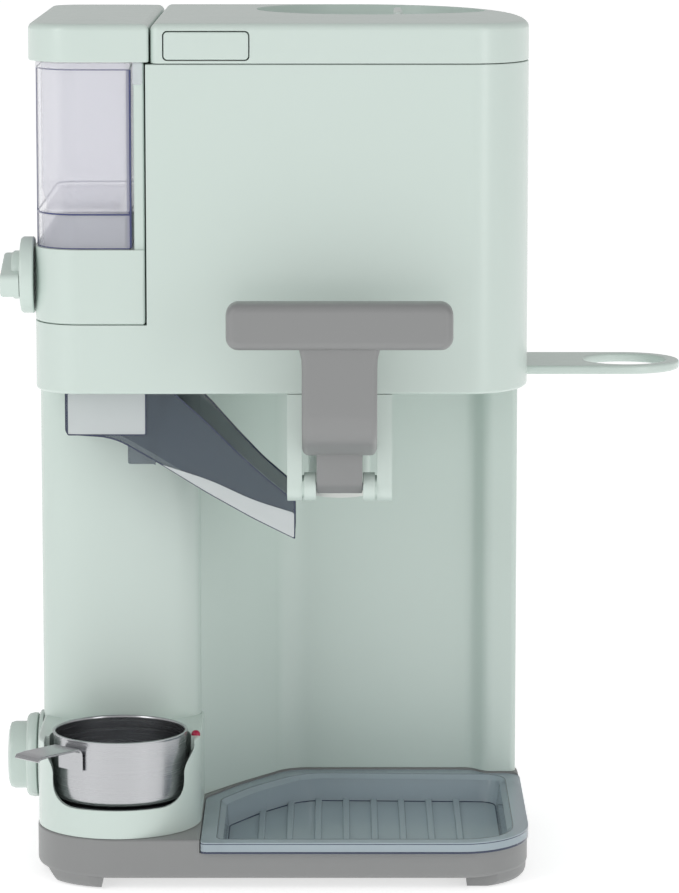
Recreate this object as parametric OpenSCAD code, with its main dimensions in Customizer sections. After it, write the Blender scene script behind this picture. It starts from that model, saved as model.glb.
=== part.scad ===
// Countertop soft-serve ice cream maker: a freezing head on a rear column, a mix-in hopper and chute
// on the left, a warming cup bay below it, a T-handle spout in front and a drip tray on the base.
// Built in machine coordinates: X = 0 on the bowl axis, Y = 0 at the head's front face, Z = 0 on the
// table. Every node is then moved so that the origin is under the middle of the whole machine.

/* [Head] */
// Left side of the head and of the hopper
head_left = -150.5; // [-152:0.5:-148]
// Right side of the head
head_right = 93.7; // [92:0.1:95]
// Back of the head
head_back = 200; // [198:0.5:202]
// Underside of the head
head_z0 = 245.6; // [244:0.1:247]
// Seam between the head and its lid
head_z1 = 407.3; // [406:0.1:409]
// Top of the lid
lid_z1 = 428.5; // [427:0.5:432]
// Wall thickness of the large mouldings
wall = 3; // [2.5:0.5:3.5]

/* [Hopper] */
// Right side of the hopper, where it meets the head
hopper_right = -95.2; // [-96:0.1:-95]
// Underside of the hopper's housing
hopper_z0 = 279.9; // [279:0.1:281]
// Seam between the housing and the clear container
hopper_z1 = 316.8; // [315:0.1:318]
// Height of the dispenser rotor's axis
rotor_z = 301.5; // [300:0.5:302]
// Depth of the rotor's axis behind the front face
rotor_y = 30; // [29:0.5:31]

/* [Bowl and drive] */
// Depth of the bowl's axis behind the front face
bowl_y = 88; // [87:0.5:89]
// Inner radius of the freezer bowl
bowl_r = 64; // [60:1:66]
// Teeth of the output gear
output_teeth = 46; // [46:1:46]
// Teeth of the idler gear
idler_teeth = 27; // [27:1:27]
// Teeth of the motor pinion
pinion_teeth = 12; // [12:1:12]
// Gear module
gear_module = 1.5; // [1.5:0.1:1.5]

/* [Spout] */
// Depth of the spout's axis
spout_y = 34; // [34:0.5:35]
// Bore of the spout
spout_r = 9; // [8:0.5:9.5]
// Depth of the handle's pivot
pivot_y = 6; // [5.5:0.5:6.5]
// Height of the handle's pivot
pivot_z = 199; // [198:0.5:200]
// Length of the handle's cross-bar
bar_w = 109.2; // [100:0.2:115]

/* [Base and column] */
// Top of the base under the column
base_z1 = 25.7; // [25:0.1:26.5]
// Underside of the base between the feet
base_z0 = 5.8; // [5:0.1:7]
// Top of the drip tray's rim
tray_z1 = 24.9; // [24:0.1:25]
// Centre of the cup bay across the machine
cup_x = -110; // [-110.5:0.5:-109.5]
// Centre of the cup bay behind the front face
cup_y = 19.5; // [19:0.5:20]
// Outer radius of the mixing cup
cup_r = 33.5; // [32:0.5:33.5]

/* [Cone ring] */
// Reach of the cone ring's rounded end
ring_reach = 174; // [172:1:176]
// Radius of the hole that holds a cone
ring_hole_r = 20.75; // [19:0.25:21]

/* [Hidden] */
frame_x = -2;
frame_y = -79.5;
gap = 0.3;
running = 0.05;
column_z0 = base_z1 + 0.2;
column_z1 = head_z0 - 0.2;
column_left = -152;
column_back = 200;
collar_z1 = 70;
cup_z0 = 40.2;
cup_wall = 1.2;
strap_w = 17;
strap_z0 = 58.5;
strap_z1 = 70.6;
strap_t = 1.8;
handle_front = -50;
hinge_y = 205;
hinge_z = 407.5;
hinge_r = 4;
lid_left = -92;
lid_z0 = head_z1 + 0.4;
bowl_z0 = 298;
bowl_z1 = 398;
shaft_r = 6;
gear_z = 257;
gear_h = 9;
idler_y = bowl_y + gear_module * (output_teeth + idler_teeth) / 2;
motor_y = idler_y + gear_module * (idler_teeth + pinion_teeth) / 2;
motor_r = 23.5;
feed_x = 30;
feed_y = 122;
feed_r = 22;
dish_x = 16;
knob_y = 80;
knob_z = 47;
foot_xy = [[-129, 2], [76, 6], [-129, 178], [52, 176]];
foot_x0 = [-147, 62.3, -147, 38];
foot_x1 = [-118, 96, -118, 66];
foot_len = 34;
foot_z0 = 0.6;
pad_r = 8;
cover_x0 = -138;
cover_x1 = 14;
cover_z0 = 34;
cover_z1 = 236;
drop_x0 = -131;
drop_y0 = 12;
drop_w = 36;
chute_x0 = -136;
chute_x1 = -90;
chute_y0 = 16.5;
chute_y1 = 50;
chute_top = 244.8;
mint = "#c9dbd3";
mint_pale = "#d7e4dd";
grey = "#929292";
smoke = "#5b6472";
clear = "#c8c9d8";
steel = "#b8b8b8";
dark = "#3a3c40";
$fn = 48;

// ---------------------------------------------------------------- shared shapes

// Moves a sub-part from machine coordinates to the model's origin.
module placed() {
    translate([frame_x, frame_y, 0]) children();
}

// Points along an elliptical arc, or a squarer one when the power e is above 2.
function arc(cx, cy, rx, ry, a0, a1, n = 8, e = 2) = [
    for (i = [0:n])
        let (a = a0 + (a1 - a0) * i / n)
        [cx + rx * sign(cos(a)) * pow(abs(cos(a)), 2 / e), cy + ry * sign(sin(a)) * pow(abs(sin(a)), 2 / e)]
];

function but_last(points) = [for (i = [0:len(points) - 2]) points[i]];

// Plan of the head, drawn in by d: flat front, round front corners and a barrel-shaped back right.
function head_outline(d) = concat(
    but_last(arc(head_right - 30, 42, 30 - d, 42 - d, -90, 0, 7)),
    arc(0, 42, head_right - d, head_back - 42 - d, 0, 90, 14, 2.4),
    arc(head_left + 12, head_back - 12, 12 - d, 12 - d, 90, 180, 4),
    arc(head_left + 23, 27, 23 - d, 27 - d, 180, 270, 7)
);

module head_plan(d = 0) {
    polygon(head_outline(d));
}

// The head's plan to the right of a line, which is the bay wall or the lid's left side.
module right_plan(left, d = 0) {
    intersection() {
        head_plan(d);
        translate([left + d, -50]) square([300, 300]);
    }
}

// The head's plan to the left of the hopper's right side.
module hopper_plan(d = 0) {
    intersection() {
        head_plan(d);
        translate([-250, -50]) square([250 + hopper_right - d, 300]);
    }
}

// Plan of the rear column: a round-fronted tower at the left, a recessed back wall and a right pilaster.
module column_plan() {
    polygon(concat(
        arc(column_left + 40.5, 77, 40.5, 20, 180, 360, 12, 2.4),
        [[-52.5, 107]],
        arc(-16, 124, 20, 18, 150, 90, 4),
        [[66, 142], [71, 140], [75, 135], [80, 133]],
        arc(90, 136, 3, 3, 270, 330, 2),
        arc(20, 136, 73, 64, 0, 90, 10),
        arc(column_left + 12, column_back - 12, 12, 12, 90, 180, 4)
    ));
}

// Plan of the cup bay's collar: a round nose that runs back into the tower.
module collar_plan(d = 0) {
    polygon(concat(
        arc(-110.5, 25, 40.8 - d, 42.5 - d, 180, 360, 16),
        [[-69.7 - d, 78], [-151.3 + d, 78]]
    ));
}

// Plan of the base.
module base_plan() {
    polygon(concat(
        arc(-110.5, 25, 41.3, 43, 180, 270, 8),
        arc(60, 22, 34.5, 40, 270, 360, 8),
        arc(20, 136, 74.5, 65, 0, 90, 10),
        arc(-139.8, 189, 12, 12, 90, 180, 4)
    ));
}

// Plan of the drip tray, which follows the base in front and the column's wall behind.
module tray_plan() {
    polygon(concat(
        arc(-65.8, -18, 3, 3, 180, 270, 3),
        arc(60, 20, 35, 41, 270, 360, 8),
        arc(87, 124.5, 8, 8, 0, 90, 3),
        [[79.5, 132.5], [74.4, 134.4], [70.5, 139.3], [65.6, 141.3]],
        arc(-16, 123.5, 19.5, 17.8, 90, 150, 4),
        [[-52, 106], [-68.8, 75]]
    ));
}

// A rounded rectangle about its own centre.
module round_rect(w, h, r) {
    square([w - 2 * r, h], center = true);
    square([w, h - 2 * r], center = true);
    for (x = [-1, 1], y = [-1, 1])
        translate([x * (w / 2 - r), y * (h / 2 - r)]) circle(r = r);
}

// A plan from one height to another.
module slab(z0, z1) {
    translate([0, 0, z0]) linear_extrude(z1 - z0) children();
}

// A side profile, with Y across and Z up, carried along X.
module along_x(x0, x1) {
    translate([x0, 0, 0]) rotate([90, 0, 90]) linear_extrude(x1 - x0) children();
}

// A front profile, with X across and Z up, carried back from y0 to y1.
module along_y(y0, y1) {
    translate([0, y1, 0]) rotate([90, 0, 0]) linear_extrude(y1 - y0) children();
}

// A cylinder about an axis that runs along X.
module rod_x(y, z, r, x0, x1) {
    translate([x0, y, z]) rotate([0, 90, 0]) cylinder(r = r, h = x1 - x0);
}

// A round wall with a bore.
module ring(x, y, z0, z1, r_out, r_in) {
    translate([x, y, z0]) difference() {
        cylinder(r = r_out, h = z1 - z0);
        translate([0, 0, -1]) cylinder(r = r_in, h = z1 - z0 + 2);
    }
}

// A block between two corners.
module block(a, b) {
    translate(a) cube(b - a);
}

// A pan-head screw that points up, with its head at z = 0.
module screw_up() {
    cylinder(r = 3, h = 1.8);
    cylinder(r = 1.5, h = 7);
}

// A straight-sided gear with its first tooth along +X.
module gear(teeth, height, bore_r) {
    pitch_r = gear_module * teeth / 2;
    root_r = pitch_r - 1.2 * gear_module;
    tip_r = pitch_r + 0.8 * gear_module;
    half_root = 0.29 * gear_module * PI;
    half_tip = 0.11 * gear_module * PI;
    difference() {
        linear_extrude(height) {
            circle(r = root_r);
            for (i = [0:teeth - 1])
                rotate(i * 360 / teeth)
                    polygon([[root_r - 1, -half_root], [tip_r, -half_tip], [tip_r, half_tip], [root_r - 1, half_root]]);
        }
        translate([0, 0, -1]) cylinder(r = bore_r, h = height + 2);
    }
}

// ---------------------------------------------------------------- base

// Plan of the four foot blocks, grown by d.
module foot_plan(d = 0) {
    for (i = [0:3])
        translate([foot_x0[i] - d, foot_xy[i][1] - foot_len / 2 - d])
            square([foot_x1[i] - foot_x0[i] + 2 * d, foot_len + 2 * d]);
}

module base_shell() {
    color(grey) placed() difference() {
        union() {
            slab(base_z0, base_z1) base_plan();
            slab(foot_z0, base_z0 + 0.5) intersection() {
                offset(delta = -0.4) base_plan();
                foot_plan();
            }
        }
        slab(19, base_z1 + 1) offset(delta = 0.5) tray_plan();
        slab(8.6, 20) offset(delta = -8) tray_plan();
        slab(base_z0 - 1, base_z1 - 3) difference() {
            offset(delta = -3) base_plan();
            offset(delta = 3) tray_plan();
            foot_plan(1.5);
        }
        for (p = foot_xy)
            translate([p[0], p[1], -1]) cylinder(r = pad_r + 0.2, h = 5.2);
    }
}

module bottom_plate() {
    color(dark) placed() slab(8.2, 10) difference() {
        offset(delta = -3.4) base_plan();
        offset(delta = 3.4) tray_plan();
        foot_plan(2);
        for (y = [60, 145])
            translate([-110, y]) circle(r = 1.6);
    }
}

module rubber_feet() {
    color("#2c2c2e") placed() for (p = foot_xy)
        translate([p[0], p[1], 0]) cylinder(r = pad_r, h = 4);
}

module bottom_screws() {
    color(steel) placed() for (y = [60, 145])
        translate([-110, y, 6.3]) screw_up();
}

// ---------------------------------------------------------------- column

// The front opening of the cup bay, as seen from the front.
module bay_opening() {
    polygon(concat(
        arc(cup_x - 20.7, 52, 12, 12, 180, 270, 6),
        arc(cup_x + 20.7, 52, 12, 12, 270, 360, 6),
        [[cup_x + 32.7, 58], [cup_x + 37.5, 66], [cup_x + 37.5, 90], [cup_x - 37.5, 90]],
        [[cup_x - 37.5, 66], [cup_x - 32.7, 58]]
    ));
}

module column_shell() {
    color(mint) placed() difference() {
        union() {
            slab(column_z0, column_z1) column_plan();
            slab(column_z0, collar_z1) collar_plan();
        }
        slab(column_z0 - 1, column_z1 - wall) offset(delta = -wall) column_plan();
        slab(column_z0 - 1, 36) collar_plan(wall);
        translate([cup_x, cup_y, 38.4]) cylinder(r = 35.5, h = 60);
        along_y(-30, cup_y) bay_opening();
        block([cover_x0, 190, cover_z0], [cover_x1, 210, cover_z1]);
        translate([0, motor_y, column_z1 - 10]) cylinder(r = 10, h = 20);
        rod_x(knob_y, knob_z, 4, column_left - 5, column_left + 10);
        cover_screw_holes();
        translate([cup_x, cup_y, 30]) cylinder(r = 3, h = 20);
    }
}

// Pilot holes of the rear cover's screws.
module cover_screw_holes() {
    for (x = [cover_x0 + 1.5, cover_x1 - 1.5], z = [cover_z0 - 4, cover_z1 + 4])
        translate([x, 190, z]) rotate([-90, 0, 0]) cylinder(r = 1.5, h = 20);
}

module rear_cover() {
    color(mint_pale) placed() difference() {
        union() {
            block([cover_x0 + gap, 197, cover_z0 + gap], [cover_x1 - gap, 200, cover_z1 - gap]);
            block([cover_x0 - 5, 200.2, cover_z0 - 8], [cover_x1 + 5, 202.4, cover_z1 + 8]);
            block([cover_x0 + 4, 199, cover_z0 + 4], [cover_x1 - 4, 201, cover_z1 - 4]);
        }
        for (i = [0:10])
            block([-112, 190, 150 + 6 * i], [-12, 210, 153 + 6 * i]);
        for (x = [cover_x0 + 1.5, cover_x1 - 1.5], z = [cover_z0 - 4, cover_z1 + 4])
            translate([x, 190, z]) rotate([-90, 0, 0]) cylinder(r = 1.7, h = 20);
        translate([-120, 190, 52]) rotate([-90, 0, 0]) cylinder(r = 7, h = 20);
    }
}

module rear_screws() {
    color(steel) placed() for (x = [cover_x0 + 1.5, cover_x1 - 1.5], z = [cover_z0 - 4, cover_z1 + 4])
        translate([x, 204.3, z]) rotate([90, 0, 0]) screw_up();
}

module cord_gland() {
    color(dark) placed() translate([-120, 0, 52]) rotate([-90, 0, 0]) difference() {
        union() {
            translate([0, 0, 194]) cylinder(r = 6.9, h = 9);
            translate([0, 0, 202.5]) cylinder(r = 8.5, h = 2.5);
            translate([0, 0, 194]) cylinder(r = 8.5, h = 2.8);
        }
        translate([0, 0, 190]) cylinder(r = 3.6, h = 20);
    }
}

module warming_plate() {
    color("#55575a") placed() ring(cup_x, cup_y, 38.5, 39.9, 33, 2);
}

module heater_ring() {
    color("#8a4b38") placed() ring(cup_x, cup_y, 33, 35.8, 24, 16);
}

module indicator_lens() {
    color("#c01848") placed() translate([-72.2, 22.3, collar_z1]) intersection() {
        sphere(r = 2.3);
        translate([-5, -5, 0.1]) cube(10);
    }
}

module knob_bezel() {
    color(mint) placed() difference() {
        rod_x(knob_y, knob_z, 23.2, column_left - 2.4, column_left - 0.1);
        rod_x(knob_y, knob_z, 4, column_left - 5, column_left + 5);
    }
}

module rotary_switch() {
    color(dark) placed() difference() {
        block([-145.4, knob_y - 10, knob_z - 11], [-131, knob_y + 12, knob_z + 11]);
        rod_x(knob_y, knob_z, 3 + running, -160, -136);
    }
}

module control_board() {
    color("#3f6b4a") placed() {
        block([-140, 150, 90], [-84, 151.6, 180]);
        block([-134, 142, 100], [-114, 150.1, 128]);
        block([-106, 146, 140], [-92, 150.1, 154]);
        translate([-124, 150.1, 160]) rotate([90, 0, 0]) cylinder(r = 6, h = 12);
    }
}

// ---------------------------------------------------------------- head

module head_shell() {
    color(mint) placed() difference() {
        union() {
            difference() {
                union() {
                    slab(head_z0, hopper_z0 - 0.2) head_plan();
                    slab(head_z0, head_z1) right_plan(hopper_right + 0.8);
                }
                slab(head_z0 + wall, hopper_z0 - 0.2 - wall) head_plan(wall);
                slab(head_z0 + wall, head_z1 + 1) right_plan(hopper_right + 0.8, wall);
            }
            block([50, 62, head_z0 + 1], [head_right - 12, 126, 254.6]);
            for (x = [-28, 8])
                along_x(x, x + 10) hinge_ear(196, 394, head_z1);
        }
        block([55, 68.4, 247.3], [110, 119.6, 251.1]);
        rod_x(hinge_y, hinge_z, 1.5, -27, 17);
        translate([0, spout_y, head_z0 - 1]) cylinder(r = 11.2, h = 10);
        translate([0, motor_y, head_z0 - 1]) cylinder(r = 10, h = 10);
        block([drop_x0, drop_y0, head_z0 - 1], [drop_x0 + drop_w, drop_y0 + drop_w, hopper_z0 + 1]);
    }
}

// Side view of one hinge ear: a round eye on an arm that reaches the wall between two heights.
module hinge_ear(y0, z0, z1) {
    translate([hinge_y, hinge_z]) circle(r = hinge_r);
    polygon([[y0, z0], [hinge_y + 2, hinge_z - hinge_r + 0.6], [hinge_y, hinge_z], [y0, z1]]);
}

module drop_duct() {
    color(mint_pale) placed() difference() {
        block([drop_x0 + gap, drop_y0 + gap, head_z0], [drop_x0 + drop_w - gap, drop_y0 + drop_w - gap, hopper_z0 - 0.4]);
        block([drop_x0 + 2, drop_y0 + 2, head_z0 - 1], [drop_x0 + drop_w - 2, drop_y0 + drop_w - 2, hopper_z0 + 1]);
    }
}

module bowl_well() {
    color("#e4e6e4") placed() difference() {
        translate([0, bowl_y, 287]) cylinder(r = bowl_r + 17.5, h = head_z1 - 3 - 287, $fn = 96);
        translate([0, bowl_y, 289.5]) cylinder(r = bowl_r + 15.5, h = 200, $fn = 96);
        translate([0, bowl_y, 280]) cylinder(r = 9.2, h = 20);
        translate([0, spout_y, 280]) cylinder(r = 11.2, h = 20);
    }
}

module freezer_bowl_shell() {
    color("#d9dcdc") placed() difference() {
        translate([0, bowl_y, 290]) cylinder(r = bowl_r + 14, h = bowl_z1 - 2.4 - 290, $fn = 96);
        translate([0, bowl_y, 292]) cylinder(r = bowl_r + 12, h = 200, $fn = 96);
        translate([0, bowl_y, 280]) cylinder(r = 9.2, h = 20);
        translate([0, spout_y, 280]) cylinder(r = 11.2, h = 20);
    }
}

module bowl_liner() {
    color("#cfd1d2") placed() difference() {
        union() {
            translate([0, bowl_y, bowl_z0]) cylinder(r = bowl_r + 2, h = bowl_z1 - bowl_z0, $fn = 96);
            translate([0, bowl_y, bowl_z1 - 2]) cylinder(r = bowl_r + 14, h = 2, $fn = 96);
        }
        translate([0, bowl_y, bowl_z0 + 2]) cylinder(r = bowl_r, h = 200, $fn = 96);
        translate([0, bowl_y, bowl_z0 - 5]) cylinder(r = 9.2, h = 20);
        translate([0, spout_y, bowl_z0 - 5]) cylinder(r = spout_r, h = 20);
    }
}

module coolant_gel() {
    color("#9fc7df") placed() ring(0, bowl_y, bowl_z0, bowl_z1 - 3, bowl_r + 11.8, bowl_r + 2.2);
}

module bowl_gasket() {
    color("#4a4c4f") placed() ring(0, bowl_y, bowl_z1 + 0.2, bowl_z1 + 3, bowl_r + 13, bowl_r + 6);
}

module outlet_tube() {
    color("#e8e8e6") placed() ring(0, spout_y, head_z0 + 0.1, bowl_z0 - 0.1, 11, spout_r);
}

// Plan of the gearbox: one round lobe on each gear's axis.
module gearbox_plan(d = 0) {
    translate([0, bowl_y]) circle(r = 39 - d);
    translate([0, idler_y]) circle(r = 24.5 - d);
    translate([0, motor_y]) circle(r = 14 - d);
    translate([-12 + d, bowl_y]) square([24 - 2 * d, motor_y - bowl_y]);
}

module gearbox_case() {
    color("#c8cac8") placed() difference() {
        slab(249, 270) gearbox_plan();
        slab(251, 275) gearbox_plan(2);
        translate([0, bowl_y, 240]) cylinder(r = 9, h = 20);
        translate([0, idler_y, 240]) cylinder(r = 3, h = 20);
        translate([0, motor_y, 240]) cylinder(r = 4, h = 20);
    }
}

module gearbox_cover() {
    color("#bfc1bf") placed() difference() {
        slab(270.2, 273) gearbox_plan();
        translate([0, bowl_y, 260]) cylinder(r = 9, h = 20);
        translate([0, idler_y, 260]) cylinder(r = 3, h = 20);
    }
}

module output_bush() {
    color("#b08d57") placed() ring(0, bowl_y, 270.2, 299.5, 9, shaft_r + running);
}

module lower_bush() {
    color("#b08d57") placed() ring(0, bowl_y, 249, 255.5, 9, shaft_r + running);
}

module idler_axle() {
    color(steel) placed() translate([0, idler_y, 249]) cylinder(r = 3, h = 24);
}

module motor_can() {
    color("#8d9093") placed() difference() {
        union() {
            translate([0, motor_y, 145]) cylinder(r = motor_r, h = 88);
            translate([0, motor_y, 232]) cylinder(r = 8, h = 9);
        }
        translate([0, motor_y, 222]) cylinder(r = 2.5 + running, h = 30);
    }
}

module motor_bracket() {
    color("#a9abad") placed() difference() {
        union() {
            block([-34, motor_y - 20, 233.2], [34, motor_y + 20, 235.4]);
            for (x = [-34, 31])
                block([x, motor_y - 20, 233.2], [x + 3, motor_y + 20, column_z1 - wall]);
        }
        translate([0, motor_y, 230]) cylinder(r = 8.2, h = 10);
    }
}

// ---------------------------------------------------------------- spout and handle

module spout_bracket() {
    color(mint) placed() difference() {
        union() {
            for (x = [-25.8, 18.5])
                along_x(x, x + 7.3) polygon(concat(
                    [[1, 245.4], [1, 199]],
                    arc(8, 198.5, 7, 7, 180, 360, 8),
                    [[15, 245.4]]
                ));
            for (x = [-18.6, 11.6])
                rod_x(pivot_y, pivot_z, 7, x, x + 7);
            block([-25.8, 1, 242.2], [25.8, 17, 245.4]);
        }
        rod_x(pivot_y, pivot_z, 2, -24, 24);
    }
}

module spout_body() {
    color(mint) placed() difference() {
        union() {
            translate([0, spout_y, 195]) cylinder(r = 15.5, h = 50.4);
            translate([0, spout_y, 242.4]) cylinder(r = 16.5, h = 3);
        }
        translate([0, spout_y, 190]) cylinder(r = spout_r, h = 60);
        block([-10.6, 23.6, 200], [10.6, 60, 203]);
        block([-4.4, 10, 200], [4.4, 30, 203]);
    }
}

module spout_gate() {
    color(mint_pale) placed() {
        block([-10, 24, 200.4], [10, 60, 202.6]);
        block([-4, 13.6, 200.4], [4, 25, 202.6]);
    }
}

module spout_nozzle() {
    color("#e9ebe9") placed() difference() {
        translate([0, spout_y, 191]) cylinder(r = 14, h = 3.9);
        for (i = [0:2])
            translate([0, spout_y, 190]) rotate(30 * i) cube([14, 14, 20], center = true);
    }
}

module handle_pin() {
    color(steel) placed() rod_x(pivot_y, pivot_z, 2, -24, 24);
}

module handle() {
    color(grey) placed() difference() {
        union() {
            along_y(handle_front, handle_front + 17)
                translate([0, 284.75]) round_rect(bar_w, 22.7, 6);
            along_x(-18.2, 18.2) polygon(concat(
                [[-37, 280], [-46.5, 280]],
                arc(-32.5, 247, 14, 14, 180, 225, 4),
                [[-14, 216.6], [-4, 213.2], [2, 215], [1, 221]],
                [[-9, 224.6], [-31, 241], [-36, 247]]
            ));
            along_x(-11.3, 11.3) {
                translate([pivot_y, pivot_z]) circle(r = 6);
                polygon([[-10, 218], [pivot_y - 5.4, pivot_z - 2.6], [pivot_y + 5, pivot_z + 3.2], [1.5, 218]]);
            }
        }
        rod_x(pivot_y, pivot_z, 2 + running, -20, 20);
        block([-12, -10, pivot_z - 8], [12, 14, pivot_z - 4]);
    }
}

// ---------------------------------------------------------------- lid

module lid_shell() {
    color(mint) placed() difference() {
        union() {
            difference() {
                slab(lid_z0, lid_z1) right_plan(lid_left);
                slab(lid_z0 - 1, lid_z1 - 2.5) right_plan(lid_left, 2.5);
            }
            translate([dish_x, feed_y, lid_z1 - 11]) cylinder(r = 61, h = 10, $fn = 96);
            along_x(-17.5, 7.5) hinge_ear(198, lid_z0 + 8, lid_z0 + 8);
            along_x(-17.5, 7.5) polygon([[198, lid_z0], [hinge_y - 4.3, lid_z0], [hinge_y, hinge_z], [198, 416]]);
        }
        translate([dish_x, feed_y, lid_z1 - 9]) cylinder(r = 58.5, h = 20, $fn = 96);
        translate([feed_x, feed_y, lid_z0 - 1]) cylinder(r = feed_r, h = 40);
        rod_x(hinge_y, hinge_z, 1.5 + running, -20, 10);
        along_y(-5, 10) translate([-64.9, 416.3]) round_rect(42.2, 14.4, 2.4);
    }
}

module lid_liner() {
    color("#e2e5e2") placed() slab(lid_z0, lid_z0 + 1.5) difference() {
        right_plan(lid_left, 2.8);
        translate([feed_x, feed_y]) circle(r = feed_r);
    }
}

module lid_seal() {
    color("#b9bdbb") placed() ring(0, bowl_y, bowl_z1 + 3.4, lid_z0 - 0.1, bowl_r + 11, bowl_r + 8);
}

module lid_hinge_pin() {
    color(steel) placed() rod_x(hinge_y, hinge_z, 1.5, -27, 17);
}

module latch_button() {
    color(mint) placed() {
        along_y(-0.2, 2.4) translate([-64.9, 416.3]) round_rect(41.4, 13.6, 2);
        block([-75, 2.2, 412], [-55, 6, 421]);
    }
}

module feed_cap() {
    color(mint_pale) placed() {
        translate([feed_x, feed_y, lid_z1 - 8.8]) cylinder(r = feed_r + 3, h = 2.2);
        translate([feed_x, feed_y, lid_z0 + 4]) cylinder(r = feed_r - 0.4, h = lid_z1 - 8.8 - lid_z0 - 3.9);
        block([feed_x - 2, feed_y - 22, lid_z1 - 7], [feed_x + 2, feed_y + 22, lid_z1 - 0.5]);
    }
}

// ---------------------------------------------------------------- paddle and drive

module paddle() {
    color("#eef0ee") placed() translate([0, bowl_y, 0]) {
        difference() {
            translate([0, 0, 302]) cylinder(r = 10, h = 88);
            translate([0, 0, 300]) cylinder(r = shaft_r, h = 20);
        }
        for (side = [0, 180])
            rotate(side) {
                for (z = [302, 342, 382])
                    block([9, -3, z], [60, 3, z + 7]);
                block([57, -3.5, 302], [bowl_r - 1.6, 3.5, 389]);
                block([20, -2, 302], [26, 2, 389]);
            }
    }
}

module drive_shaft() {
    color(steel) placed() translate([0, bowl_y, 250]) cylinder(r = shaft_r, h = 70);
}

module output_gear() {
    color("#e3dfd2") placed() translate([0, bowl_y, gear_z]) rotate(90) gear(output_teeth, gear_h, shaft_r);
}

module idler_gear() {
    color("#e3dfd2") placed()
        translate([0, idler_y, gear_z]) rotate(270 + 180 / idler_teeth) gear(idler_teeth, gear_h, 3 + running);
}

module motor_pinion() {
    color("#b08d57") placed() translate([0, motor_y, 0]) {
        translate([0, 0, gear_z]) rotate(270 + 180 / pinion_teeth) gear(pinion_teeth, gear_h, 2.5);
        translate([0, 0, 223]) cylinder(r = 2.5, h = gear_z + gear_h - 223);
    }
}

// ---------------------------------------------------------------- hopper and chute

module hopper_housing() {
    color(mint) placed() difference() {
        union() {
            slab(hopper_z0, hopper_z1) hopper_plan();
            block([hopper_right - 5.3, 1.5, hopper_z1 - 1], [hopper_right, 196, 408]);
        }
        difference() {
            slab(hopper_z0 + 2.5, hopper_z1 + 1) hopper_plan(2.5);
            for (y = [12, 46])
                block([-160, y, hopper_z0], [-90, y + 2, hopper_z1 - 6]);
            block([hopper_right - 5.3, 0, hopper_z1 - 8], [hopper_right, 198, 409]);
        }
        block([drop_x0 + 2, drop_y0 + 3, hopper_z0 - 1], [hopper_right - 2.6, drop_y0 + 33, hopper_z0 + 4]);
        rod_x(rotor_y, rotor_z, 3 + running, -160, -140);
    }
}

module hopper_container() {
    color(clear) placed() difference() {
        slab(hopper_z1 + 0.2, 407.9) intersection() {
            hopper_plan(1.3);
            translate([-250, -10]) square([250 - 101.2, 198]);
        }
        slab(334.5, 420) intersection() {
            hopper_plan(3.5);
            translate([-250, -10]) square([250 - 103.4, 195.8]);
        }
        slab(hopper_z1 - 1, 332.3) intersection() {
            hopper_plan(3.5);
            translate([-250, -10]) square([250 - 103.4, 195.8]);
        }
        block([-144, 14, 320], [-108, 46, 350]);
    }
}

module hopper_lid() {
    color(mint) placed() difference() {
        slab(408.3, lid_z1 - 0.5) intersection() {
            translate([-1.35, 0]) scale([1.008, 1]) head_plan();
            translate([-250, -10]) square([250 + lid_left - 0.6, 300]);
        }
        slab(408, lid_z1 - 3) intersection() {
            head_plan(2.5);
            translate([-250, -10]) square([250 + lid_left - 3.1, 300]);
        }
    }
}

module hopper_knob() {
    color(mint) placed() {
        rod_x(rotor_y, rotor_z, 19, -158, -151);
        rod_x(rotor_y, rotor_z, 12, -162.4, -157.9);
        translate([0, rotor_y, rotor_z]) rotate([15, 0, 0]) block([-167.4, -17.5, -5.9], [-157.9, 17.5, 5.9]);
        rod_x(rotor_y, rotor_z, 3, -151.1, -147);
    }
}

module dispenser_rotor() {
    color("#d4d6dd") placed() translate([0, rotor_y, rotor_z]) rotate([0, 90, 0]) {
        translate([0, 0, -147]) cylinder(r = 5, h = 46);
        for (i = [0:5])
            rotate(60 * i) translate([4, -1, -145]) cube([9.6, 2, 43.5]);
    }
}

// Front view of the chute's trough, from the collar box down to its mouth. The wall's upper edge can rise.
module trough_front(rise = 0) {
    polygon([
        [chute_x0, chute_top - 0.1], [chute_x0, 222], [-112, 219], [-90, 206],
        [-66, 191], [-43, 178], [-22, 168], [-22, 190 + 0.4 * rise],
        [-38, 203 + 0.5 * rise], [-52, 216 + 0.7 * rise], [-66, 230 + 0.9 * rise], [-82.5 + rise, chute_top - 0.1]
    ]);
}

module chute() {
    color(smoke) placed() difference() {
        union() {
            along_y(chute_y0, chute_y1) trough_front();
            along_y(chute_y1 - 2, chute_y1) trough_front(9);
        }
        along_y(chute_y0 + 2, chute_y1 - 2) polygon([
            [chute_x0 + 2, 260], [chute_x0 + 2, 225], [-111, 221.5], [-89, 208.5],
            [-65, 193.5], [-42, 180.5], [-10, 166], [-10, 260]
        ]);
    }
}

module drip_tray() {
    color(smoke) placed() difference() {
        union() {
            slab(19.2, tray_z1) tray_plan();
            slab(9, 20) offset(delta = -8.6) tray_plan();
        }
        difference() {
            slab(11, 30) offset(delta = -10.6) tray_plan();
            for (i = [0:7])
                block([-42 + 14.5 * i, 4, 10], [-38 + 14.5 * i, 122, 12.4]);
        }
        slab(18, tray_z1 - 2.2) difference() {
            offset(delta = -2) tray_plan();
            offset(delta = -8.6) tray_plan();
        }
    }
}

// ---------------------------------------------------------------- cup, knob and cone ring

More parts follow.
